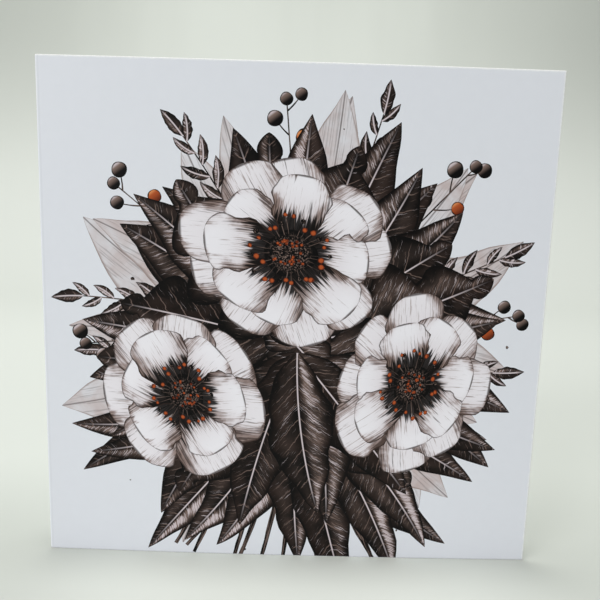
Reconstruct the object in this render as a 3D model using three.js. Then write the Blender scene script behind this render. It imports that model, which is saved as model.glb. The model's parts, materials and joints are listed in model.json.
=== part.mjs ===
// A square greeting card: one sheet of board folded once, standing upright with its two leaves partly open.
// Units are millimetres, +Z is up. The front leaf faces -Y and the fold runs up its -X side.
// The origin is at the middle of the card's footprint, on the surface that it stands on.
import * as THREE from "three";

// Driving dimensions
const LEAF_WIDTH = 150; // from the fold's axis to the free edge
const LEAF_HEIGHT = 150;
const BOARD_THICKNESS = 0.45;
const OPENING_ANGLE = THREE.MathUtils.degToRad(40); // between the two leaves as the card stands
const INSIDE_CLEARANCE = 0.15; // from the fold's axis to each leaf's inside face
const LEAF_BOW = 1.0; // how far the middle of a leaf bulges outwards, as board does once it is folded
const FOLD_GAP = 0.3; // between the fold and the edge of each leaf beside it
const LEAF_STEPS = 24; // straight lengths along a bowed leaf
const FOLD_SIDES = 24; // flats round the fold

// Sizes that follow from them
const FOLD_RADIUS = INSIDE_CLEARANCE + BOARD_THICKNESS; // the fold's outside is level with both leaves
const LEAF_START = FOLD_RADIUS + FOLD_GAP;

// Colours of the board
const PRINTED_WHITE = 0xdfe3e8;
const PLAIN_WHITE = 0xe9e8e3;

function boardMaterial(color, roughness) {
  return new THREE.MeshStandardMaterial({ color, roughness, metalness: 0 });
}

// How far the inside face stands off the fold's middle plane, at a distance along the leaf.
// It is least at the fold and at the free edge, and most half way between them.
function insideFace(along) {
  const share = (along - LEAF_START) / (LEAF_WIDTH - LEAF_START);
  return INSIDE_CLEARANCE + LEAF_BOW * 4 * share * (1 - share);
}

// A leaf seen from above, running along +X from the fold's axis. The side says which way it faces:
// -1 for a leaf whose outside faces -Y, 1 for one whose outside faces +Y.
function leafOutline(side) {
  const inside = [];
  const outside = [];
  for (let step = 0; step <= LEAF_STEPS; step++) {
    const along = THREE.MathUtils.lerp(LEAF_START, LEAF_WIDTH, step / LEAF_STEPS);
    const offset = insideFace(along);
    inside.push(new THREE.Vector2(along, side * offset));
    outside.push(new THREE.Vector2(along, side * (offset + BOARD_THICKNESS)));
  }
  return new THREE.Shape([...inside, ...outside.reverse()]);
}

function leaf(name, side, color, roughness) {
  const geometry = new THREE.ExtrudeGeometry(leafOutline(side), {
    depth: LEAF_HEIGHT,
    bevelEnabled: false,
  });
  const mesh = new THREE.Mesh(geometry, boardMaterial(color, roughness));
  mesh.name = name;
  return mesh;
}

// The rounded fold that joins the leaves, as tall as they are.
function fold() {
  const geometry = new THREE.CylinderGeometry(FOLD_RADIUS, FOLD_RADIUS, LEAF_HEIGHT, FOLD_SIDES);
  geometry.rotateX(Math.PI / 2);
  geometry.translate(0, 0, LEAF_HEIGHT / 2);
  const mesh = new THREE.Mesh(geometry, boardMaterial(PRINTED_WHITE, 0.5));
  mesh.name = "fold";
  return mesh;
}

// The card about the fold's axis: the back leaf turns away from the front one by the opening angle.
function card() {
  const leaves = new THREE.Group();
  const front = leaf("front_leaf", -1, PRINTED_WHITE, 0.45);
  const back = leaf("back_leaf", 1, PLAIN_WHITE, 0.6);
  back.rotation.z = OPENING_ANGLE;
  leaves.add(front, fold(), back);
  return leaves;
}

// The group that is exported, with the middle of the footprint at its origin.
function standingCard() {
  const leaves = card();
  leaves.updateMatrixWorld(true);
  const footprint = new THREE.Box3().setFromObject(leaves, true);
  const centre = footprint.getCenter(new THREE.Vector3());
  leaves.position.set(-centre.x, -centre.y, -footprint.min.z);
  const group = new THREE.Group();
  group.add(leaves);
  return group;
}

export default standingCard();
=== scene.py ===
"""A square greeting card of folded board, standing partly open, with a botanical ink print on its front.

The board is one flat sheet, cut into the print's shapes, that a Geometry Nodes tree folds round the crease.
The print is laid out in millimetres on the front leaf, x from the fold and y from the bottom edge.
"""
import cmath
import json
import math
import random
from dataclasses import dataclass, replace
import bpy
import numpy as np
from mathutils import Matrix, Vector
from mathutils.geometry import delaunay_2d_cdt

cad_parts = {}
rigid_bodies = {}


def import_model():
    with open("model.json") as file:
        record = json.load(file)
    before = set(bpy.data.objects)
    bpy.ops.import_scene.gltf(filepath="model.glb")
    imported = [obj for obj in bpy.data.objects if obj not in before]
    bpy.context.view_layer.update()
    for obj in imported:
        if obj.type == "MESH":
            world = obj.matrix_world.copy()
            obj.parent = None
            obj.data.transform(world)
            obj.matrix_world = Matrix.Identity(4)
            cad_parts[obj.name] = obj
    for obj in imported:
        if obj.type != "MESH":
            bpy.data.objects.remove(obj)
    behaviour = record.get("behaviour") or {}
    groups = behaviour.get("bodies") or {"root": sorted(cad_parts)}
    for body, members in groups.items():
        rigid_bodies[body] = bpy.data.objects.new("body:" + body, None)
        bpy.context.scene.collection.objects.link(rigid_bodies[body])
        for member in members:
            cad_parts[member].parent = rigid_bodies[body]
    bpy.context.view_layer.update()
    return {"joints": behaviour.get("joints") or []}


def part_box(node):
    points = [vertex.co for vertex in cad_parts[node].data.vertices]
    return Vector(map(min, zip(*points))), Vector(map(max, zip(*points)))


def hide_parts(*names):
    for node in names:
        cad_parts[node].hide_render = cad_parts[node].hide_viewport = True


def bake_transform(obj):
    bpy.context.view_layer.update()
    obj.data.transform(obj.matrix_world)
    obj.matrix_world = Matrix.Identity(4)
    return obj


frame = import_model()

MM = 0.001

# The card, from the frame. The sheet's own sizes are in millimetres.
HINGE = frame["joints"][0]
FOLD = Vector(HINGE["pos_m"])
OPENING = math.radians(-HINGE["range_deg"][0])
LEAF_WIDTH = (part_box("front_leaf")[1][0] - FOLD.x) / MM
LEAF_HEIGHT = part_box("front_leaf")[1][2] / MM
BOARD = 0.45
CLEARANCE = 0.15  # from the fold's axis to each leaf's inside face
BOW = 1.0  # how far the middle of a leaf bulges outwards
BOW_START = 0.9  # from the fold's axis to where the bulge starts
CREASE_HALF = 0.7  # half of the width that is bent round the fold's axis
SCORE_DEPTH = 0.025
SCORE_PLACE = 1.45  # each score line's distance from the middle of the crease, in crease halves
SCORE_SPREAD = 0.3
EDGE_ROUND = 0.18
SHEET_HALF = LEAF_WIDTH + CREASE_HALF

# Places in the mesh where columns or rows of points run
PRINT_PITCH = 1.5
PLAIN_PITCH = 6.0
EDGE_SUPPORT = 0.16
CREASE_COLUMNS = (0.0, 0.18, 0.35, 0.53, 0.7, 0.8, 0.92, 1.04, 1.2, 1.5, 2.2)
EDGE_ROWS = 3
SAME_POINT = 0.001  # points of the print's shapes nearer than this are one
SAME_RIM_POINT = 0.00001
INSIDE_ONLY = 1  # triangulates only what the outlines hold

# The baked map's layout, in shares of its side
MAP_PRINT = 0.765
MAP_PLAIN = 0.215
MAP_GAP = 0.006
MAP_STRIP = 0.03

# The print's layout
HEART = complex(76, 68)  # where the leaves behind the flowers spread from
FOOT = complex(76, 36)  # the middle of the stalks
ABOUT_A_TURN = 6.28
FAINT_EDGE = 0.05

# The surface of the board and its ink
BOARD_SHINE = 0.12
ROUGHNESS_SPREAD = 0.12
GRAIN_HEIGHT = 0.03 * MM
FIBRE_SIZE = 0.4 * MM
PRINT_ROUGHNESS = 0.46
INK_ROUGHNESS = 0.42
WASH_ROUGHNESS = 0.44
INSIDE_ROUGHNESS = 0.72
CUT_ROUGHNESS = 0.8
INK_GRAIN = 0.22
NOISE_SPREAD = 2.4  # brings a noise's middling values out to the whole of 0 to 1

FLOAT = "NodeSocketFloat"
VECTOR = "NodeSocketVector"
GEOMETRY = "NodeSocketGeometry"


def linear(red, green, blue):
    """A colour given as it looks on a screen, 0 to 255, in the linear values that shaders take."""
    shares = (c / 255 for c in (red, green, blue))
    return *(c / 12.92 if c <= 0.04045 else ((c + 0.055) / 1.055) ** 2.4 for c in shares), 1.0


WHITE_PRINT = linear(230, 233, 240)
WHITE_PRINT_FAINT = linear(229, 232, 239)
WHITE_BOARD = linear(238, 239, 237)
WHITE_BOARD_FAINT = linear(234, 235, 232)
# White of the board's core; along the top and the free ends it also serves as a painted highlight
WHITE_CORE_AND_HIGHLIGHT = linear(250, 251, 251)
CORE_SHADE = linear(232, 232, 229)
# Grey for painted shade: a little in the score lines, and a painted contact shadow along the bottom edge
PAINTED_SHADE_GREY = linear(120, 124, 130)
INK_BLACK = linear(5, 4, 4)
INK_BROWN = linear(52, 38, 33)
INK_TAUPE = linear(138, 117, 109)
INK_WASH = linear(184, 160, 154)
INK_MIST = linear(212, 200, 204)
INK_PALE = linear(248, 248, 254)
AMBER = linear(178, 84, 42)
AMBER_DEEP = linear(96, 38, 18)
AMBER_LIGHT = linear(226, 146, 92)
BACKDROP = linear(209, 213, 206)
# The backdrop's painted light and shade: lit behind the card, shaded beside it, in the far corners and in
# ripples
BACKDROP_LIT = linear(216, 220, 213)
BACKDROP_SHADE_BESIDE = linear(189, 193, 186)
BACKDROP_SHADE_FAR = linear(182, 186, 179)


# The print's shapes

@dataclass
class Motif:
    """One painted shape: its outline, and how far along and across it each point of the sheet is.

    Points are complex numbers, x + i y, in millimetres. along runs 0 to 1 from root to tip, across -1 to 1.
    """

    finish: str
    outline: list
    locate: object
    seed: float
    tone: float

    def turned(self, change, undo):
        """The same shape moved by change, which undo takes back."""
        outline = [change(p) for p in self.outline]
        return replace(self, outline=outline, locate=lambda points: self.locate(undo(points)))


class Midrib:
    """An arc that a leaf, petal or stem grows along. turn is how far its heading swings on the way."""

    LEAST_TURN = 0.02

    def __init__(self, root, heading, length, turn):
        straight = abs(turn) <= self.LEAST_TURN
        self.turn = math.copysign(self.LEAST_TURN, turn or 1) if straight else turn
        self.heading = heading
        self.length = length
        self.side = math.copysign(1, self.turn)
        self.centre = root - length * cmath.exp(1j * heading) / (1j * self.turn)

    def point(self, along, off=0.0):
        """The point that is off millimetres to the left of the midrib."""
        way = cmath.exp(1j * (self.heading + self.turn * along))
        return self.centre + 1j * way * (off - self.length / self.turn)

    def place(self, points):
        """How far along the midrib, 0 to 1, and off it, in millimetres, each point of an array is."""
        spoke = (points - self.centre) / (-1j * self.side * cmath.exp(1j * self.heading))
        return np.angle(spoke) / self.turn, self.length / self.turn - self.side * np.abs(spoke)


def grown(finish, rib, half_width, steps, seed, tone):
    """A shape that reaches half_width(along, side) millimetres from its midrib on each side, 1 or -1."""
    sides = []
    for side in (1, -1):
        shares = [0.5 - 0.5 * math.cos(math.pi * k / steps) for k in range(steps + 1)]
        sides.append([rib.point(t, side * half_width(t, side)) for t in shares])
    left, right = sides
    outline = right + left[::-1]
    least_step = 0.02
    kept = [p for k, p in enumerate(outline) if abs(p - outline[k - 1]) > least_step]

    def locate(points):
        along, off = rib.place(points)
        shares = np.clip(along, 0.0, 1.0)
        width = np.array([max(half_width(t, 1 if o > 0 else -1), FAINT_EDGE) for t, o in zip(shares, off)])
        return along, np.clip(off / width, -1, 1), along * rib.length, off

    return Motif(finish, kept, locate, seed, tone)


def waver(rng, amount):
    """A smooth function of (along, side) that strays round 1, as a hand-drawn edge does."""
    waves = 3
    turn = ABOUT_A_TURN
    parts = [(rng.uniform(3, 16), rng.uniform(0, turn), rng.uniform(0, turn)) for _ in range(waves)]

    def at(along, side):
        sway = sum(math.sin(k * along * 2 + (left if side > 0 else right)) for k, left, right in parts)
        return 1 + amount / waves * sway

    return at


def leaf(rng, root, heading, length, turn, width, tone, finish="leaf_ink"):
    """A pointed leaf, widest a little below its middle."""
    rib = Midrib(root, heading, length, turn)
    edge = waver(rng, 0.14)

    def half_width(along, side):
        if not 0 < along < 1:
            return 0.0
        return width / 2 * math.sin(math.pi * along ** 0.82) ** 0.92 * edge(along, side)

    return grown(finish, rib, half_width, 26, rng.random(), tone)


def lobed_leaf(rng, root, heading, length, turn, width, tone):
    """A leaf with rounded lobes along both sides."""
    lobes = 4
    rib = Midrib(root, heading, length, turn)
    edge = waver(rng, 0.1)
    shift = rng.uniform(0, 0.15)

    def half_width(along, side):
        if not 0 < along < 1:
            return 0.0
        body = math.sin(math.pi * along ** 0.8) ** 0.75
        wave = abs(math.cos(math.pi * (lobes * (1 - along) + (shift if side > 0 else 0.0)))) ** 0.7
        return width / 2 * body * (0.38 + 0.62 * wave) * edge(along, side)

    return grown("leaf_ink", rib, half_width, 44, rng.random(), tone)


def stem(rng, root, heading, length, turn, width):
    """A thin stalk that narrows towards its tip."""
    rib = Midrib(root, heading, length, turn)
    edge = waver(rng, 0.2)

    def half_width(along, side):
        return width / 2 * (1 - 0.55 * along) * edge(along * 2, side)

    return rib, grown("stem_ink", rib, half_width, max(8, int(length / 2.5)), rng.random(), 0.5)


def petal(rng, root, heading, length, turn, width, tone):
    """A broad petal, narrow at its root and round, a little notched, at its tip."""
    rib = Midrib(root, heading, length, turn)
    edge = waver(rng, 0.13)
    notch = rng.uniform(0.0, 0.07)

    def half_width(along, side):
        if not 0 < along < 1:
            return 0.0
        body = along ** 0.62 * (1 - along ** (5.5 - 18 * notch)) ** 0.5
        return width / 2 * 1.12 * body * edge(along, side)

    return grown("petal_ink", rib, half_width, 22, rng.random(), tone)


def blot(rng, centre, radius, finish, tone, ragged, sides):
    """A round spot with an uneven edge: a berry, a stamen's tip or a spatter of ink."""
    phases = [rng.uniform(0, ABOUT_A_TURN) for _ in range(3)]

    def reach(angle):
        return radius * (1 + ragged / 3 * sum(math.sin((k + 2) * angle + f) for k, f in enumerate(phases)))

    angles = [2 * math.pi * k / sides for k in range(sides)]
    outline = [centre + cmath.rect(reach(angle), angle) for angle in angles]

    def locate(points):
        off = points - centre
        return np.abs(off) / radius, np.angle(off) / math.pi, off.real, off.imag

    return Motif(finish, outline, locate, rng.random(), tone)


def berry(rng, centre, radius, ripeness):
    """A berry, from 0, nearly black, to 1, amber."""
    return blot(rng, centre, radius, "berry_ink", ripeness, ragged=0.05, sides=22)


def sprig(rng, root, heading, length, turn, leaflets, size, berries=False):
    """A fine stalk with pairs of small leaves, or with berries on short stalks."""
    rib, stalk = stem(rng, root, heading, length, turn, 0.75)
    made = [stalk]
    for k in range(leaflets):
        along = 0.16 + 0.84 * (k + 0.5) / leaflets
        side = 1 if k % 2 else -1
        lean = heading + turn * along + side * rng.uniform(0.6, 0.95)
        reach = size * (1.1 - 0.55 * along) * rng.uniform(0.85, 1.15)
        base = rib.point(along)
        if berries:
            twig_rib, twig = stem(rng, base, lean, reach, -side * 0.3, 0.5)
            made.append(twig)
            made.append(berry(rng, twig_rib.point(1), rng.uniform(1.8, 2.5), float(k % 3 == 0)))
        else:
            leaflet_tone = rng.uniform(0.2, 0.9)
            made.append(leaf(rng, base, lean, reach, -side * 0.5, reach * 0.36, tone=leaflet_tone))
    if berries:
        made.append(berry(random.Random(leaflets), rib.point(1), 1.9, 0.0))
    else:
        made.append(leaf(rng, rib.point(1), heading + turn, size * 0.75, 0.2, size * 0.3, tone=0.4))
    return made


def flower(rng, centre, radius, tilt, squash, petals):
    """An open flower seen a little from the side: two rings of petals, a dark heart and stamens."""
    stamens = 30
    heart_spots = 24
    made = []
    for ring, (reach, count) in enumerate(((1.0, petals), (0.78, petals - 1))):
        start = rng.uniform(0, ABOUT_A_TURN)
        order = list(range(count))
        rng.shuffle(order)
        for k in order:
            heading = start + 2 * math.pi * (k + rng.uniform(-0.14, 0.14)) / count
            length = radius * reach * rng.uniform(0.92, 1.06)
            width = 2 * math.pi * radius * reach / count * rng.uniform(1.0, 1.18)
            made.append(petal(rng, 0j, heading, length, rng.uniform(-0.4, 0.4), width, 0.35 + 0.3 * ring))
    made.append(blot(rng, 0j, radius * 0.235, "heart_ink", 0.5, 0.16, 40))
    for k in range(stamens):
        angle = 2 * math.pi * (k + rng.uniform(-0.3, 0.3)) / stamens
        reach = radius * rng.uniform(0.27, 0.4)
        way = cmath.rect(1, angle)
        thread = Midrib(way * radius * 0.19, angle, reach - radius * 0.19, rng.uniform(-0.3, 0.3))
        made.append(grown("stem_ink", thread, lambda t, s: 0.14, 3, rng.random(), 0.5))
        tip = "amber_ink" if k % 3 else "heart_ink"
        made.append(blot(rng, thread.point(1), radius * rng.uniform(0.02, 0.03), tip, 0.5, 0.2, 9))
    for _ in range(heart_spots):
        spot = cmath.rect(radius * 0.17 * math.sqrt(rng.random()), rng.uniform(0, ABOUT_A_TURN))
        made.append(blot(rng, spot, radius * 0.016, "amber_ink", 0.5, 0.2, 8))
    turn = cmath.rect(1, tilt)

    def change(point):
        local = point / turn
        return centre + complex(local.real * squash, local.imag) * turn

    def undo(points):
        local = (points - centre) / turn
        return (local.real / squash + 1j * local.imag) * turn

    return [m.turned(change, undo) for m in made]


def spatters(rng, centre, spread, count):
    """Small spots of ink flung round a point, fewer and smaller further out."""
    made = []
    for _ in range(count):
        angle = rng.uniform(0, ABOUT_A_TURN)
        reach = spread * (0.35 + 0.65 * rng.random())
        size = rng.uniform(0.22, 0.75) * (1.25 - 0.6 * reach / spread)
        made.append(blot(rng, centre + cmath.rect(reach, angle), size, "stem_ink", rng.random(), 0.35, 9))
    return made


def washes():
    """Broad pale leaves, laid in as thin washes behind the others."""
    rng = random.Random(5)
    made = []
    for k in range(17):
        degrees = 232 - 17.8 * k + rng.uniform(-6, 6)
        length = rng.uniform(66, 76) if degrees > 0 else rng.uniform(60, 68)
        made.append(leaf(
            rng, HEART, math.radians(degrees), length, rng.uniform(-0.5, 0.5), rng.uniform(21, 29),
            tone=rng.random(), finish="wash_ink",
        ))
    return made


def bouquet():
    """Every shape of the print, the ones furthest back first."""
    rng = random.Random(27)
    made = washes()
    made += spatters(rng, HEART, 68, 60)
    for degrees, length in ((158, 66), (113, 70), (69, 72), (27, 67), (-10, 60), (190, 58)):
        made += sprig(rng, HEART, math.radians(degrees), length, rng.uniform(-0.45, 0.45), 15, 13)
    for degrees, length in ((137, 72), (92, 72), (48, 74), (9, 67), (174, 64)):
        turn = rng.uniform(-0.3, 0.3)
        made += sprig(rng, HEART, math.radians(degrees), length, turn, 9, 10, berries=True)
    for k in range(-6, 7):
        heading = math.radians(-90 + k * 7)
        made.append(stem(rng, FOOT + 1.3 * k + 8j, heading, 50, rng.uniform(-0.25, 0.25), 2.4)[1])
    for k in range(-6, 7):
        degrees = -90 + k * 14 + rng.uniform(-4, 4)
        made.append(leaf(
            rng, FOOT + 18j, math.radians(degrees), rng.uniform(56, 72), rng.uniform(-0.5, 0.5), 17,
            tone=rng.uniform(0.2, 0.9),
        ))
    for k in range(19):
        degrees = 216 - 14.2 * k + rng.uniform(-5, 5)
        made.append(leaf(
            rng, HEART, math.radians(degrees), rng.uniform(60, 72), rng.uniform(-0.45, 0.45),
            rng.uniform(18, 24), tone=rng.uniform(0.1, 0.75),
        ))
    for k in range(10):
        degrees = 222 - 30 * k + rng.uniform(-6, 6)
        made.append(lobed_leaf(
            rng, HEART, math.radians(degrees), rng.uniform(54, 64), rng.uniform(-0.4, 0.4), 34,
            tone=rng.uniform(0.1, 0.5),
        ))
    for degrees in (232, 248, 292, 310, 270):
        made.append(leaf(
            rng, FOOT + 30j, math.radians(degrees), rng.uniform(50, 60), rng.uniform(-0.4, 0.4), 20,
            tone=rng.uniform(0.1, 0.5),
        ))
    made += flower(rng, complex(42, 52), 27, math.radians(40), 0.86, 7)
    made += flower(rng, complex(111, 57), 28, math.radians(160), 0.82, 8)
    made += flower(rng, complex(73, 96), 32, math.radians(75), 0.9, 9)
    return made


# The flat sheet

class Sheet:
    """The unfolded board: flat points, x from the crease and y up, and the shape each triangle is in."""

    def __init__(self, motifs):
        self.motifs = motifs
        self.reach = SHEET_HALF - EDGE_ROUND
        self.low = EDGE_ROUND
        self.high = LEAF_HEIGHT - EDGE_ROUND
        self.points, self.faces, self.owners = self.cut()
        self.rim = self.border()

    def columns(self, front_pitch):
        """Where upright lines of points run: close at the crease, front_pitch apart on the front leaf."""
        near = [side * c for side in (-1, 1) for c in CREASE_COLUMNS]
        front = np.arange(CREASE_COLUMNS[-1] + front_pitch, self.reach - 1, front_pitch)
        back = -np.arange(CREASE_COLUMNS[-1] + PLAIN_PITCH, self.reach - 1, PLAIN_PITCH)
        ends = [side * (self.reach - inset) for side in (-1, 1) for inset in (0.0, EDGE_SUPPORT)]
        return np.unique(np.round(np.concatenate([near, front, back, ends]), 4))

    def rows(self, pitch):
        """The heights of each upright line's points."""
        middle = np.linspace(self.low, self.high, round(LEAF_HEIGHT / pitch) + 1)[1:-1]
        ends = [self.low, self.low + EDGE_SUPPORT, self.high - EDGE_SUPPORT, self.high]
        return np.concatenate([middle, ends])

    def cut(self):
        """The outside's points and triangles, cut along every outline, and each triangle's top shape."""
        ends = (-self.reach, self.reach, self.reach, -self.reach)
        levels = (self.low, self.low, self.high, self.high)
        points = [Vector(corner) for corner in zip(ends, levels)]
        shapes = [[0, 1, 2, 3]]
        for motif in self.motifs:
            first = len(points)
            points += [Vector((p.real + CREASE_HALF, p.imag)) for p in motif.outline]
            shapes.append(list(range(first, len(points))))
        fine, coarse = self.rows(PRINT_PITCH), self.rows(PLAIN_PITCH)
        for x in self.columns(PRINT_PITCH):
            rows = fine if x > -CREASE_HALF else coarse
            points += [Vector((x, y)) for y in rows]
        made, _, faces, _, _, sources = delaunay_2d_cdt(points, [], shapes, INSIDE_ONLY, SAME_POINT, True)
        flat = np.array([tuple(v) for v in made])
        kept = []
        owners = []
        for face, source in zip(faces, sources):
            middle = flat[face].mean(axis=0)
            on_sheet = abs(middle[0]) < self.reach and self.low < middle[1] < self.high
            if on_sheet:
                kept.append(face)
                owners.append(max(source) - 1)
        used, places = np.unique(np.array(kept), return_inverse=True)
        return flat[used], places.reshape(-1, 3).tolist(), owners

    def border(self):
        """The points round the outside face's rim, in order, anticlockwise."""
        sides = dict.fromkeys(side for face in self.faces for side in zip(face, face[1:] + face[:1]))
        edges = {a: b for a, b in sides if (b, a) not in sides}
        start = next(iter(edges))
        loop = [start]
        while edges[loop[-1]] != start:
            loop.append(edges[loop[-1]])
        return loop

    def far_side(self):
        """The inside's points and triangles, on a coarse grid, and which of its points are the rim's."""
        rim = [Vector(self.points[v]) for v in self.rim]
        points = list(rim)
        for x in self.columns(PLAIN_PITCH):
            if abs(x) < self.reach - EDGE_SUPPORT / 2:
                points += [Vector((x, y)) for y in self.rows(PLAIN_PITCH) if self.low < y < self.high]
        made, _, faces, sources, _, _ = delaunay_2d_cdt(
            points, [], [list(range(len(rim)))], INSIDE_ONLY, SAME_RIM_POINT, True
        )
        rim_places = [0] * len(rim)
        for place, source in enumerate(sources):
            for vertex in source:
                if vertex < len(rim):
                    rim_places[vertex] = place
        return np.array([tuple(v) for v in made]), faces, rim_places

    def rim_points(self, inset):
        """The rim's points when the rim is moved to inset millimetres from the sheet's true edge."""
        moved = self.points[self.rim].copy()
        slack = 0.000001
        for axis, low, high, true_low, true_high in (
            (0, -self.reach, self.reach, -SHEET_HALF, SHEET_HALF),
            (1, self.low, self.high, 0.0, LEAF_HEIGHT),
        ):
            at_low = moved[:, axis] < low + slack
            at_high = moved[:, axis] > high - slack
            moved[at_low, axis] = true_low + inset
            moved[at_high, axis] = true_high - inset
        return moved


FINISHES = (
    "coated_white", "inside_board", "cut_edge",
    "wash_ink", "leaf_ink", "petal_ink", "heart_ink", "berry_ink", "stem_ink", "amber_ink",
)


class FlatSolid:
    """Points, faces, and each face's finish and shape of the print, gathered before they become a mesh."""

    def __init__(self):
        self.points = []
        self.faces = []
        self.finishes = []
        self.owners = []

    def add_points(self, flat, depth):
        first = len(self.points)
        self.points += [(x, depth, z) for x, z in flat]
        return list(range(first, len(self.points)))

    def add_face(self, face, finish, owner):
        self.faces.append(face)
        self.finishes.append(FINISHES.index(finish))
        self.owners.append(owner)


def thick_sheet(sheet):
    """The whole board as one closed flat solid: x along the sheet, y into its thickness and z up."""
    solid = FlatSolid()
    outside = solid.add_points(sheet.points, 0.0)
    for face, owner in zip(sheet.faces, sheet.owners):
        finish = "coated_white" if owner < 0 else sheet.motifs[owner].finish
        solid.add_face([outside[v] for v in face], finish, owner)
    turns = [math.radians(90 * k / EDGE_ROWS) for k in range(1, EDGE_ROWS + 1)]
    profile = [(EDGE_ROUND * (1 - math.sin(a)), EDGE_ROUND * (1 - math.cos(a))) for a in turns]
    profile += [(inset, BOARD - depth) for inset, depth in reversed(profile)]
    rings = [[outside[v] for v in sheet.rim]]
    for inset, depth in profile:
        rings.append(solid.add_points(sheet.rim_points(inset), depth))
    far_points, far_faces, rim_places = sheet.far_side()
    far = solid.add_points(far_points, BOARD)
    rings.append([far[place] for place in rim_places])
    for near, beyond in zip(rings, rings[1:]):
        for k in range(len(near)):
            after = (k + 1) % len(near)
            solid.add_face([near[k], beyond[k], beyond[after], near[after]], "cut_edge", -1)
    for face in far_faces:
        solid.add_face([far[v] for v in reversed(face)], "inside_board", -1)
    return solid


def flat_mesh(solid, motifs):
    """The flat solid as a mesh, with its maps and each point's distance from the crease."""
    mesh = bpy.data.meshes.new("flat_card")
    points = np.array(solid.points)
    mesh.from_pydata((points * MM).tolist(), [], solid.faces)
    mesh.materials.append(bpy.data.materials[FINISHES[0]])
    mesh.attributes.new("finish", "INT", "FACE").data.foreach_set("value", solid.finishes)
    corner_points = np.empty(len(mesh.loops), np.int32)
    mesh.loops.foreach_get("vertex_index", corner_points)
    sizes = [len(f) for f in solid.faces]
    owners = np.repeat(solid.owners, sizes)
    finishes = np.repeat(solid.finishes, sizes)
    place = points[corner_points]
    starts = np.concatenate([[0], np.cumsum(sizes)[:-1]])
    middles = np.repeat(np.add.reduceat(place, starts) / np.array(sizes)[:, None], sizes, axis=0)
    shares, strokes, moods = np.zeros((3, len(owners), 2))
    for number, motif in enumerate(motifs):
        mine = owners == number
        spots = place[mine, 0] - CREASE_HALF + 1j * place[mine, 2]
        along, across, ahead, off = motif.locate(spots)
        shares[mine] = np.stack([along, 0.5 + 0.5 * across], 1)
        strokes[mine] = np.stack([ahead, off], 1)
        moods[mine] = (motif.seed, motif.tone)
    baked = baked_places(place, middles, finishes)
    for name, values in (("OFBake", baked), ("Shares", shares), ("Strokes", strokes), ("Mood", moods)):
        mesh.uv_layers.new(name=name).data.foreach_set("uv", values.astype(np.float32).ravel())
    from_crease = mesh.attributes.new("from_crease", "FLOAT", "POINT")
    from_crease.data.foreach_set("value", points[:, 0].astype(np.float32))
    return mesh


def baked_places(place, middles, finishes):
    """Each corner's place in the baked map: printed leaf large, plain faces small, cut edges in strips."""
    along, depth, up = place[:, 0], place[:, 1], place[:, 2]
    printed_side = LEAF_WIDTH + 2 * CREASE_HALF
    edge = finishes == FINISHES.index("cut_edge")
    inside = finishes == FINISHES.index("inside_board")
    front = middles[:, 0] > -CREASE_HALF
    at = np.stack([(along + CREASE_HALF) / printed_side, up / LEAF_HEIGHT], 1) * MAP_PRINT + MAP_GAP
    plain_left = MAP_PRINT + 3 * MAP_GAP
    for slot, mine in enumerate((~inside & ~front, inside & front, inside & ~front)):
        corner = np.array([plain_left, MAP_GAP + slot * (MAP_PLAIN + 2 * MAP_GAP)])
        plain_at = np.stack([np.abs(along) / SHEET_HALF, up / LEAF_HEIGHT], 1) * MAP_PLAIN + corner
        at = np.where((mine & ~edge)[:, None], plain_at, at)
    at_end = np.abs(middles[:, 0]) > SHEET_HALF - EDGE_ROUND
    low = middles[:, 2] < LEAF_HEIGHT / 2
    sides = ((~at_end & low), (~at_end & ~low), (at_end & front), (at_end & ~front))
    for strip, mine in enumerate(sides):
        lengthwise = up / LEAF_HEIGHT if strip > 1 else (along + SHEET_HALF) / (2 * SHEET_HALF)
        low_side = MAP_PRINT + 4 * MAP_GAP + strip * (MAP_STRIP + MAP_GAP)
        crosswise = low_side + depth / BOARD * MAP_STRIP
        strip_at = np.stack([MAP_GAP + lengthwise * (1 - 2 * MAP_GAP), crosswise], 1)
        at = np.where((mine & edge)[:, None], strip_at, at)
    return at


# Nodes

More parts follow.
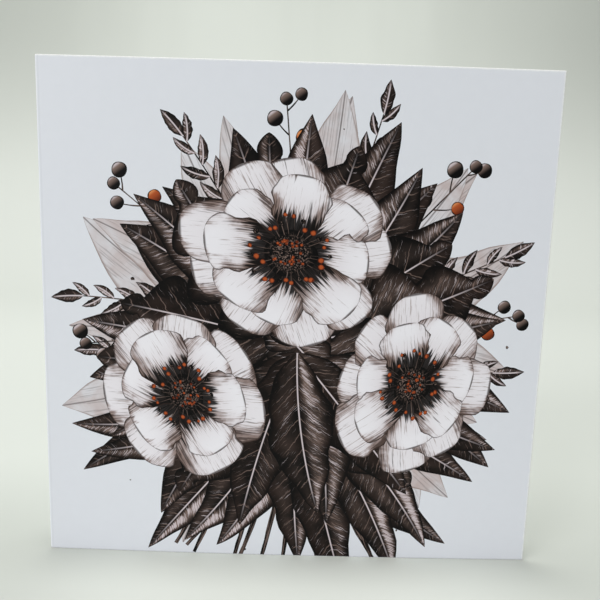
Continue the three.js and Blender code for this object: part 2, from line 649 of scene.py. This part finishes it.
class Wires:
    """Adds nodes to a tree and links them, so that a formula reads in the order it is worked out."""

    def __init__(self, tree):
        self.tree = tree

    def feed(self, socket, value):
        """Gives a socket its value, or links it to another socket."""
        if isinstance(value, bpy.types.NodeSocket):
            self.tree.links.new(value, socket)
        else:
            socket.default_value = value

    def feed_all(self, sockets, values):
        """Feeds a node's sockets from values by name or number."""
        for name, value in values.items():
            self.feed(sockets[name], value)

    def add(self, kind, inputs=None, **settings):
        """A new node's outputs."""
        node = self.tree.nodes.new(kind)
        for name, value in settings.items():
            setattr(node, name, value)
        self.feed_all(node.inputs, inputs or {})
        return node.outputs

    def math(self, operation, *values, clamp=False):
        return self.add("ShaderNodeMath", dict(enumerate(values)), operation=operation, use_clamp=clamp)[0]

    def plus(self, first, second):
        return self.math("ADD", first, second)

    def minus(self, first, second):
        return self.math("SUBTRACT", first, second)

    def times(self, first, second):
        return self.math("MULTIPLY", first, second)

    def over(self, first, second, clamp=False):
        return self.math("DIVIDE", first, second, clamp=clamp)

    def absolute(self, value):
        return self.math("ABSOLUTE", value)

    def rise(self, value, low, high):
        """0 below low, 1 above high, and smooth between."""
        inputs = {"Value": value, "From Min": low, "From Max": high}
        return self.add("ShaderNodeMapRange", inputs, interpolation_type="SMOOTHSTEP")["Result"]

    def fall(self, value, low, high):
        """1 below low, 0 above high, and smooth between."""
        return self.minus(1.0, self.rise(value, low, high))

    def mix(self, share, first, second):
        """The first colour where the share is 0, and the second where it is 1."""
        return self.add("ShaderNodeMix", {"Factor": share, 6: first, 7: second}, data_type="RGBA")[2]

    def vector(self, x, y, z=0.0):
        return self.add("ShaderNodeCombineXYZ", {0: x, 1: y, 2: z})[0]

    def split(self, vector):
        """The three coordinates of a vector."""
        return tuple(self.add("ShaderNodeSeparateXYZ", {0: vector}))

    def noise(self, vector, scale, detail=2.0, roughness=0.5, distortion=0.0):
        return self.add("ShaderNodeTexNoise", {
            "Vector": vector, "Scale": scale, "Detail": detail, "Roughness": roughness,
            "Distortion": distortion,
        })["Fac"]

    def map_at(self, name):
        """The two coordinates of one of the mesh's maps, and 0."""
        return self.split(self.add("ShaderNodeUVMap", uv_map=name)[0])

    def attribute(self, name):
        return self.add("ShaderNodeAttribute", attribute_name=name)["Fac"]

    def place(self):
        return self.add("ShaderNodeTexCoord")["Object"]


def new_group(name, kind, inputs, outputs):
    """A node group. Its inputs are (name, socket type, default), and its outputs (name, socket type)."""
    tree = bpy.data.node_groups.new(name, kind)
    for socket, socket_type, default in inputs:
        made = tree.interface.new_socket(socket, in_out="INPUT", socket_type=socket_type)
        if default is not None:
            made.default_value = default
    for socket, socket_type in outputs:
        tree.interface.new_socket(socket, in_out="OUTPUT", socket_type=socket_type)
    wires = Wires(tree)
    return tree, wires, wires.add("NodeGroupInput"), tree.nodes.new("NodeGroupOutput").inputs


FOLD_SIZES = {
    "Leaf Width": LEAF_WIDTH * MM, "Board": BOARD * MM, "Clearance": CLEARANCE * MM, "Bow": BOW * MM,
    "Bow Start": BOW_START * MM, "Crease Half": CREASE_HALF * MM, "Opening": OPENING,
    "Score Depth": SCORE_DEPTH * MM, "Score Place": SCORE_PLACE, "Score Spread": SCORE_SPREAD,
}


def fold_tree():
    """Folds a flat board, x along it and y into its thickness, round the crease at x = 0."""
    tree, w, given, out = new_group(
        "fold_board", "GeometryNodeTree",
        [
            ("Board Mesh", GEOMETRY, None), *((size, FLOAT, 0.0) for size in FOLD_SIZES),
            ("Fold Place", VECTOR, None),
        ],
        [("Card", GEOMETRY)],
    )
    half = given["Crease Half"]
    board = given["Board"]
    from_crease, depth, up = w.split(w.add("GeometryNodeInputPosition")[0])
    reach = w.absolute(from_crease)
    ahead = w.math("MAXIMUM", w.minus(reach, half), 0.0)

    # The bulge of each leaf, and the score line pressed into its outside
    bowed = w.minus(given["Leaf Width"], given["Bow Start"])
    share = w.over(w.minus(ahead, given["Bow Start"]), bowed, clamp=True)
    hump = w.times(w.times(share, 4.0), w.minus(1.0, share))
    bulge = w.times(hump, given["Bow"])
    from_score = w.minus(reach, w.times(half, given["Score Place"]))
    score_share = w.over(from_score, w.times(half, given["Score Spread"]))
    score = w.math("EXPONENT", w.times(w.times(score_share, score_share), -1.0))
    outer = w.minus(1.0, w.over(depth, board))
    dent = w.times(w.times(score, given["Score Depth"]), outer)
    height = w.minus(w.minus(board, depth), dent)
    offset = w.plus(w.plus(given["Clearance"], bulge), height)

    # The turn from the front leaf, through the crease, to the back leaf
    round_share = w.over(w.minus(half, from_crease), w.times(half, 2.0), clamp=True)
    angle = w.minus(-math.pi / 2, w.times(round_share, w.minus(math.pi, given["Opening"])))
    cosine = w.math("COSINE", angle)
    sine = w.math("SINE", angle)
    forward = w.times(ahead, w.math("SIGN", from_crease))
    x = w.minus(w.times(offset, cosine), w.times(forward, sine))
    y = w.plus(w.times(offset, sine), w.times(forward, cosine))
    moved = w.add("ShaderNodeVectorMath", {0: w.vector(x, y, up), 1: given["Fold Place"]}, operation="ADD")[0]
    placed = w.add("GeometryNodeSetPosition", {"Geometry": given["Board Mesh"], "Position": moved})[0]

    shaped = w.add("GeometryNodeRealizeInstances", {0: placed})[0]
    finish = w.add("GeometryNodeInputNamedAttribute", {"Name": "finish"}, data_type="INT")["Attribute"]
    for number, name in enumerate(FINISHES):
        chosen = w.add("FunctionNodeCompare", {2: finish, 3: number}, data_type="INT", operation="EQUAL")[0]
        material = bpy.data.materials[name]
        inputs = {"Geometry": shaped, "Selection": chosen, "Material": material}
        shaped = w.add("GeometryNodeSetMaterial", inputs)[0]
    w.feed(out["Card"], shaped)
    return tree


def folded_card(mesh):
    """The flat board folded by the tree, as a plain mesh in a piece of its own."""
    flat = bpy.data.objects.new("flat_card", mesh)
    bpy.context.scene.collection.objects.link(flat)
    folding = flat.modifiers.new("fold", "NODES")
    folding.node_group = fold_tree()
    sizes = {**FOLD_SIZES, "Fold Place": (FOLD.x, FOLD.y, 0.0)}
    for item in folding.node_group.interface.items_tree:
        if item.name in sizes:
            folding[item.identifier] = sizes[item.name]
    evaluated = flat.evaluated_get(bpy.context.evaluated_depsgraph_get())
    card = bpy.data.objects.new("folded_card", bpy.data.meshes.new_from_object(evaluated))
    bpy.data.objects.remove(flat)
    bpy.context.scene.collection.objects.link(card)
    card.data.shade_smooth()
    return card


# Effects that several finishes share

def effect(name, inputs, outputs):
    """A shader's node group, with each input's default. All its sockets are numbers."""
    typed = [(socket, FLOAT, default) for socket, default in inputs.items()]
    return new_group(name, "ShaderNodeTree", typed, [(socket, FLOAT) for socket in outputs])[1:]


def board_grain():
    """The board's fibres as a height, and its slow changes of tone. Sizes are in metres."""
    sizes = {"Fibre Size": FIBRE_SIZE, "Mottle Size": 6 * MM}
    w, given, out = effect("board_grain", sizes, ("Height", "Mottle"))
    place = w.place()
    w.feed(out["Height"], w.noise(place, w.over(1.0, given["Fibre Size"]), 3.0, 0.6, 0.4))
    w.feed(out["Mottle"], w.noise(place, w.over(1.0, given["Mottle Size"]), 4.0, 0.6))


def edge_core_and_painted_light():
    """Where the board shows its white core, and where a painted highlight and painted shade lie on it, with
    widths in millimetres.

    The white core shows in fine cracks down the crease, and along the top and the free ends, together with a
    painted highlight where light catches the edge. The bottom edge, which the card stands on, gets a painted
    contact shadow, and the score lines get a little painted shade.
    """
    widths = {"Edge Width": 0.7, "Crack Width": 0.7, "Bottom Shadow Width": 0.55}
    w, given, out = effect("edge_core_and_painted_light", widths, ("Edge", "Cracks", "Score", "Bottom Shadow"))
    place = w.place()
    _, _, up = w.split(place)
    high = w.over(up, MM)
    along = w.attribute("from_crease")
    from_crease = w.absolute(along)
    ragged = w.minus(w.noise(place, 900.0, 3.0, 0.6), 0.5)
    from_edge = w.math("MINIMUM", w.minus(SHEET_HALF, from_crease), w.minus(LEAF_HEIGHT, high))
    from_edge = w.plus(from_edge, w.times(ragged, given["Edge Width"]))
    # A white line at the top and the free ends: the white core showing, and a painted highlight where light
    # catches the edge
    w.feed(out["Edge"], w.fall(from_edge, 0.0, given["Edge Width"]))
    # Painted contact shadow along the bottom edge, which the card stands on
    w.feed(out["Bottom Shadow"], w.fall(w.plus(high, w.times(ragged, 0.2)), 0.1, given["Bottom Shadow Width"]))

    # Cracks run up the crease, in some stretches more than in others
    cracked = w.noise(w.vector(w.times(along, 0.004), up), 1500.0, 4.0, 0.7)
    stretches = w.noise(w.vector(0.0, 0.0, up), 60.0, 3.0, 0.6)
    broken = w.rise(w.plus(cracked, w.times(w.minus(stretches, 0.5), 0.5)), 0.5, 0.62)
    w.feed(out["Cracks"], w.times(w.fall(from_crease, 0.2, given["Crack Width"]), broken))
    # Painted shade in the score lines beside the crease
    w.feed(out["Score"], w.times(w.rise(from_crease, 0.72, 0.95), w.fall(from_crease, 1.05, 1.35)))


def brush_marks():
    """Fine strokes of a dry brush, along the first of two stroke coordinates. Sizes are in millimetres."""
    inputs = {
        "Ahead": 0.0, "Off": 0.0, "Seed": 0.0, "Stroke Length": 6.0, "Stroke Width": 0.35, "Cover": 0.5,
        "Softness": 0.14,
    }
    w, given, out = effect("brush_marks", inputs, ("Marks",))
    ahead = w.over(given["Ahead"], given["Stroke Length"])
    off = w.over(given["Off"], given["Stroke Width"])
    raw = w.noise(w.vector(ahead, off, w.times(given["Seed"], 91.0)), 1.0, 3.0, 0.55, 0.25)
    pattern = w.plus(w.times(w.minus(raw, 0.5), NOISE_SPREAD), 0.5)
    bar = w.minus(1.0, given["Cover"])
    w.feed(out["Marks"], w.rise(pattern, w.minus(bar, given["Softness"]), w.plus(bar, given["Softness"])))


def ink_pool():
    """Where a wash of ink has pooled: soft blotches, whose size is in millimetres."""
    w, given, out = effect("ink_pool", {"Seed": 0.0, "Pool Size": 7.0, "Contrast": 0.16}, ("Pool",))
    x, _, up = w.split(w.place())
    size = w.times(given["Pool Size"], MM)
    spot = w.vector(w.over(x, size), w.over(up, size), w.times(given["Seed"], 53.0))
    pattern = w.noise(spot, 1.0, 4.0, 0.55, 0.5)
    w.feed(out["Pool"], w.rise(pattern, w.minus(0.5, given["Contrast"]), w.plus(0.5, given["Contrast"])))


class Paint(Wires):
    """A finish's own nodes."""

    def __init__(self, name):
        self.material = bpy.data.materials.new(name)
        self.material.use_nodes = True
        super().__init__(self.material.node_tree)
        self.shader = self.tree.nodes["Principled BSDF"]

    def group(self, name, **given):
        """The outputs of a shared effect. Its inputs are given by name, with _ for each space."""
        inputs = {socket.replace("_", " "): value for socket, value in given.items()}
        return self.add("ShaderNodeGroup", inputs, node_tree=bpy.data.node_groups[name])

    def lay(self, ground, *layers):
        """The ground with each (colour, where it lies, its strength) laid over it in turn."""
        for colour, where, strength in layers:
            ground = self.mix(self.times(where, strength), ground, colour)
        return ground

    def with_core_and_painted_light(self, colour):
        """The colour with the board's white core at its edges and cracks, a painted highlight along its top
        and free ends, and painted shade at its score lines and bottom edge.
        """
        core_and_painted_light = self.group("edge_core_and_painted_light")
        # White core and painted highlight at the edges, white cracks, painted shade in the score lines,
        # painted contact shadow along the bottom
        return self.lay(
            colour, (WHITE_CORE_AND_HIGHLIGHT, core_and_painted_light["Edge"], 0.9), (WHITE_CORE_AND_HIGHLIGHT, core_and_painted_light["Cracks"], 0.7),
            (PAINTED_SHADE_GREY, core_and_painted_light["Score"], 0.05), (PAINTED_SHADE_GREY, core_and_painted_light["Bottom Shadow"], 0.45),
        )

    def finish(self, colour, roughness, bump, fibre=FIBRE_SIZE):
        """Ends a finish, with the board's grain under its colour."""
        grain = self.group("board_grain", Fibre_Size=fibre)
        uneven = self.times(self.minus(grain["Mottle"], 0.5), ROUGHNESS_SPREAD)
        raised = {"Strength": bump, "Distance": GRAIN_HEIGHT, "Height": grain["Height"]}
        self.feed_all(self.shader.inputs, {
            "Base Color": colour, "Roughness": self.plus(uneven, roughness),
            "Specular IOR Level": BOARD_SHINE, "Normal": self.add("ShaderNodeBump", raised)[0],
        })


class Ink(Paint):
    """The finish of one kind of painted shape, with each point's place in its shape at hand.

    along is 0 at the root and 1 at the tip, wide is 0 on the midrib and 1 at the side, and ahead and off are
    the same two ways in millimetres, off with its sign. On a blot along is 0 at the centre and 1 at the edge,
    and ahead and off run to the right and up. seed and tone, 0 to 1, are the shape's own.
    """

    def __init__(self, name):
        super().__init__(name)
        self.along, half_across, _ = self.map_at("Shares")
        self.wide = self.absolute(self.minus(self.times(half_across, 2.0), 1.0))
        self.ahead, self.off, _ = self.map_at("Strokes")
        self.seed, self.tone, _ = self.map_at("Mood")

    def pool(self, size, contrast=0.16):
        return self.group("ink_pool", Seed=self.seed, Pool_Size=size, Contrast=contrast)["Pool"]

    def strokes(self, length, width, cover, reseed=0.0, ahead=None, off=None):
        """A dry brush's strokes, thicker where cover is more. Another reseed draws another set."""
        return self.group(
            "brush_marks", Ahead=ahead or self.ahead, Off=off or self.off, Seed=self.plus(self.seed, reseed),
            Stroke_Length=length, Stroke_Width=width, Cover=cover,
        )["Marks"]

    def dried(self, colour, roughness=INK_ROUGHNESS):
        """Ends an ink's finish."""
        self.finish(self.with_core_and_painted_light(colour), roughness, INK_GRAIN)


# The finishes

def coated_white():
    """The outside of the board: coated, smooth and a cool white."""
    paint = Paint("coated_white")
    mottle = paint.group("board_grain", Mottle_Size=3 * MM)["Mottle"]
    colour = paint.lay(WHITE_PRINT, (WHITE_PRINT_FAINT, paint.rise(mottle, 0.3, 0.7), 1.0))
    paint.finish(paint.with_core_and_painted_light(colour), PRINT_ROUGHNESS, bump=0.25)


def inside_board():
    """The inside of the board: uncoated, matt and a warmer white."""
    paint = Paint("inside_board")
    mottle = paint.group("board_grain", Mottle_Size=1.6 * MM)["Mottle"]
    colour = paint.lay(WHITE_BOARD, (WHITE_BOARD_FAINT, paint.rise(mottle, 0.3, 0.7), 1.0))
    paint.finish(paint.with_core_and_painted_light(colour), INSIDE_ROUGHNESS, bump=0.5, fibre=0.6 * MM)


def cut_edge():
    """The board's fibres where it was trimmed."""
    paint = Paint("cut_edge")
    fibres = paint.noise(paint.place(), 2600.0, 3.0, 0.7)
    colour = paint.lay(WHITE_CORE_AND_HIGHLIGHT, (CORE_SHADE, paint.rise(fibres, 0.35, 0.65), 1.0))
    paint.finish(colour, CUT_ROUGHNESS, bump=0.8, fibre=0.2 * MM)


def wash_ink():
    """A leaf in a thin wash: pale brown, fading to its tip, darker where the water dried at its edge."""
    ink = Ink("wash_ink")
    strength = ink.plus(ink.times(ink.pool(11.0, contrast=0.22), 0.65), ink.times(ink.tone, 0.35))
    strength = ink.times(strength, ink.minus(1.15, ink.times(ink.along, 0.35)))
    dry = ink.strokes(length=12.0, width=0.5, cover=0.3)
    rib = ink.fall(ink.absolute(ink.off), 0.1, 0.3)
    colour = ink.lay(
        WHITE_PRINT, (INK_WASH, strength, 1.0), (INK_BROWN, dry, 0.3),
        (INK_TAUPE, ink.rise(ink.wide, 0.86, 0.98), 0.7), (INK_BROWN, rib, 0.6),
    )
    ink.dried(colour, WASH_ROUGHNESS)


def leaf_ink():
    """A nearly black leaf: a soft light along one half, broken into dry strokes, with fine pale veins."""
    ink = Ink("leaf_ink")
    sideways = ink.absolute(ink.off)

    # Strokes and veins slant away from the midrib, and stray a little
    straying = ink.noise(ink.vector(ink.times(ink.ahead, 0.25), ink.off, ink.seed), 0.5, 2.0)
    slant = ink.minus(ink.ahead, ink.times(sideways, 0.95))
    slant = ink.plus(slant, ink.times(straying, 2.0))
    beside = ink.plus(ink.times(ink.ahead, 0.7), sideways)

    # The light is on the belly of one half, and stronger where the ink has pooled
    pool = ink.pool(9.0)
    belly = ink.times(ink.rise(ink.wide, 0.05, 0.35), ink.fall(ink.wide, 0.45, 0.9))
    light = ink.plus(ink.times(ink.rise(ink.off, -0.3, 0.8), 0.8), 0.2)
    light = ink.times(ink.times(light, belly), ink.tone)
    light = ink.times(light, ink.plus(ink.times(pool, 0.7), 0.5))
    cover = ink.plus(ink.times(light, 0.95), 0.03)
    strokes = ink.strokes(length=6.0, width=0.42, cover=cover, ahead=beside, off=slant)
    cover = ink.times(light, 0.85)
    glints = ink.strokes(length=8.0, width=0.36, cover=cover, reseed=0.5, ahead=beside, off=slant)
    veins_per_mm = ink.plus(ink.times(ink.seed, 0.07), 0.14)
    from_vein = ink.absolute(ink.minus(ink.math("FRACT", ink.times(slant, veins_per_mm)), 0.5))
    vein = ink.times(ink.fall(from_vein, 0.01, 0.045), ink.fall(ink.wide, 0.3, 0.85))
    colour = ink.lay(
        INK_BLACK, (INK_BROWN, pool, 0.45), (INK_TAUPE, light, 0.8), (INK_TAUPE, strokes, 0.65),
        (INK_MIST, glints, 0.9), (INK_TAUPE, vein, 0.6),
        (INK_MIST, ink.fall(sideways, 0.1, 0.3), ink.fall(ink.along, 0.7, 1.0)),
        (INK_BLACK, ink.rise(ink.wide, 0.84, 0.97), 0.9),
    )
    ink.dried(colour)


def petal_ink():
    """A white petal: a black blotch at its root that ends in strokes, soft washes, and a drawn edge."""
    ink = Ink("petal_ink")
    root = ink.fall(ink.along, 0.2, 0.9)
    side = ink.times(ink.rise(ink.wide, 0.35, 1.0), ink.plus(ink.pool(9.0), 0.3))
    shade = ink.plus(ink.times(root, 0.6), ink.times(side, 0.5))
    shade = ink.plus(shade, ink.times(ink.minus(1.0, ink.tone), 0.45))
    blotch = ink.minus(ink.fall(ink.along, 0.2, 0.8), ink.times(ink.wide, 0.1))
    fine = ink.strokes(length=8.0, width=0.4, cover=ink.minus(shade, 0.12))
    brown = ink.strokes(length=11.0, width=0.5, cover=ink.minus(ink.times(shade, 0.8), 0.2), reseed=0.5)
    black = ink.strokes(length=14.0, width=0.6, cover=ink.minus(ink.times(blotch, 1.5), 0.26), reseed=0.25)
    line = ink.math("MAXIMUM", ink.rise(ink.wide, 0.93, 0.98), ink.rise(ink.along, 0.965, 0.985))
    colour = ink.lay(
        INK_PALE, (INK_MIST, shade, 1.1), (INK_TAUPE, ink.rise(shade, 0.4, 1.25), 1.0),
        (INK_TAUPE, fine, 0.65), (INK_BROWN, brown, 0.75), (INK_BLACK, black, 0.96), (INK_BROWN, line, 0.85),
    )
    ink.dried(colour, WASH_ROUGHNESS)


def heart_ink():
    """A flower's dark heart, stippled."""
    ink = Ink("heart_ink")
    stipple = ink.rise(ink.noise(ink.vector(ink.ahead, ink.off, ink.seed), 2.2, 2.0, 0.6), 0.52, 0.62)
    rim = ink.rise(ink.along, 0.55, 0.95)
    ink.dried(ink.lay(INK_BLACK, (INK_TAUPE, stipple, 0.8), (INK_BLACK, rim, 1.0)))


def berry_ink():
    """A round berry, amber or nearly black: lit from the upper left, and dark round its rim."""
    ink = Ink("berry_ink")
    lit = ink.minus(ink.times(ink.off, 0.8), ink.times(ink.ahead, 0.6))
    amber = (AMBER, ink.rise(lit, -1.8, 1.0), 1.0), (AMBER_LIGHT, ink.rise(lit, 0.6, 1.8), 1.0)
    black = (INK_TAUPE, ink.rise(lit, -0.8, 1.6), 1.0), (INK_MIST, ink.rise(lit, 1.0, 1.9), 1.0)
    ripe = ink.lay(AMBER_DEEP, *amber)
    rim = ink.rise(ink.along, 0.82, 0.96)
    ink.dried(ink.lay(INK_BLACK, *black, (ripe, ink.tone, 1.0), (INK_BLACK, rim, 1.0)))


def stem_ink():
    """A stalk or a spatter: nearly black, thinner in places where the brush ran dry."""
    ink = Ink("stem_ink")
    ink.dried(ink.lay(INK_BLACK, (INK_TAUPE, ink.strokes(length=8.0, width=0.3, cover=0.42), 0.6)))


def amber_ink():
    """A small amber dot with a darker rim."""
    ink = Ink("amber_ink")
    ink.dried(ink.lay(AMBER, (AMBER_DEEP, ink.rise(ink.along, 0.5, 0.95), 1.0)))


# The setting

def sweep():
    """A pale floor that curves up into a backdrop behind the card."""
    half, front, back, radius, top, steps = 2.4, -2.0, 0.95, 0.5, 2.0, 24
    side = [(front, 0.0)]
    for k in range(steps + 1):
        angle = math.pi / 2 * k / steps
        side.append((back - radius + radius * math.sin(angle), radius - radius * math.cos(angle)))
    side.append((back, top))
    points = [(x, y, z) for y, z in side for x in (-half, half)]
    faces = [(2 * k, 2 * k + 1, 2 * k + 3, 2 * k + 2) for k in range(len(side) - 1)]
    mesh = bpy.data.meshes.new("backdrop")
    mesh.from_pydata(points, [], faces)
    mesh.shade_smooth()
    paint = Paint("backdrop_paper")
    across, ahead, up = paint.split(paint.place())
    sideways = paint.absolute(across)

    # Painted light low down behind the card, painted shade on the floor at its sides, up in the far corners
    # and in ripples
    lit = paint.times(paint.rise(ahead, 0.0, 0.3), paint.fall(up, 0.02, 0.3))
    beside = paint.times(paint.rise(sideways, 0.03, 0.09), paint.fall(ahead, -0.06, 0.03))
    shade_far_off = paint.times(paint.rise(sideways, 0.15, 0.6), paint.rise(up, 0.1, 0.45))
    ripple_shade = paint.noise(paint.vector(paint.times(across, 6.0), 0.0, up), 1.0, 3.0, 0.5)
    ripple_shade = paint.times(paint.rise(ripple_shade, 0.35, 0.75), paint.rise(up, 0.15, 0.5))
    colour = paint.lay(
        BACKDROP, (BACKDROP_LIT, lit, 1.0), (BACKDROP_SHADE_BESIDE, beside, 1.0), (BACKDROP_SHADE_FAR, shade_far_off, 1.0),
        (BACKDROP_SHADE_FAR, ripple_shade, 0.35),
    )
    paint.feed_all(paint.shader.inputs, {"Base Color": colour, "Roughness": 0.85})
    mesh.materials.append(paint.material)
    floor = bpy.data.objects.new("backdrop", mesh)
    bpy.context.scene.collection.objects.link(floor)


def area_light(name, place, size, power, colour):
    """A round soft light turned to the middle of the card, and not seen by the camera."""
    light = bpy.data.lights.new(name, "AREA")
    light.shape = "DISK"
    light.size = size
    light.energy = power
    light.color = colour
    lamp = bpy.data.objects.new(name, light)
    lamp.location = place
    lamp.visible_camera = False
    to_card = Vector((0.0, 0.0, 0.08)) - Vector(place)
    lamp.rotation_euler = to_card.to_track_quat("-Z", "Y").to_euler()
    bpy.context.scene.collection.objects.link(lamp)


def lighting():
    """A large window to the left in front of the card, a lamp high above it, and soft light all round."""
    world = bpy.data.worlds.new("soft_room")
    world.use_nodes = True
    ground = world.node_tree.nodes["Background"]
    ground.inputs["Color"].default_value = (0.98, 0.985, 1.0, 1.0)
    ground.inputs["Strength"].default_value = 0.42
    bpy.context.scene.world = world
    area_light("window", place=(-1.3, -1.35, 0.7), size=1.1, power=17.2, colour=(1.0, 0.99, 1.0))
    area_light("overhead", place=(-0.05, -0.015, 1.5), size=0.3, power=14.5, colour=(1.0, 1.0, 0.99))
    view = bpy.context.scene.view_settings
    view.view_transform = "Standard"
    view.look = "None"
    view.exposure = 0.0


def camera():
    """The photograph's viewpoint, fitted to the card's four edges: close, and turned a little down."""
    lens_mm, sensor_mm = 37.2, 36.0
    distance, sideways, height = 0.1828, 0.0003, 0.1101
    pitch, yaw, roll = math.radians(8.70), math.radians(-0.42), math.radians(-1.72)
    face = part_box("front_leaf")[0][1] + BOW / 2 * MM
    lens = bpy.data.cameras.new("camera")
    lens.lens = lens_mm
    lens.sensor_width = sensor_mm
    lens.clip_start = 0.01
    view = bpy.data.objects.new("camera", lens)
    turn = Matrix.Rotation(yaw, 4, "Z") @ Matrix.Rotation(-pitch, 4, "X") @ Matrix.Rotation(roll, 4, "Y")
    level = Matrix.Rotation(math.pi / 2, 4, "X")
    view.matrix_world = Matrix.Translation((sideways, face - distance, height)) @ turn @ level
    bpy.context.scene.collection.objects.link(view)
    bpy.context.scene.camera = view


def main():
    for stray in [o for o in bpy.context.scene.objects if o.name in ("Cube", "Light", "Camera")]:
        bpy.data.objects.remove(stray)
    for make in (
        board_grain, edge_core_and_painted_light, brush_marks, ink_pool, coated_white, inside_board, cut_edge,
        wash_ink, leaf_ink, petal_ink, heart_ink, berry_ink, stem_ink, amber_ink,
    ):
        make()
    motifs = bouquet()
    solid = thick_sheet(Sheet(motifs))
    card = folded_card(flat_mesh(solid, motifs))
    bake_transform(card)
    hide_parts("front_leaf", "back_leaf", "fold")
    sweep()
    lighting()
    camera()


main()
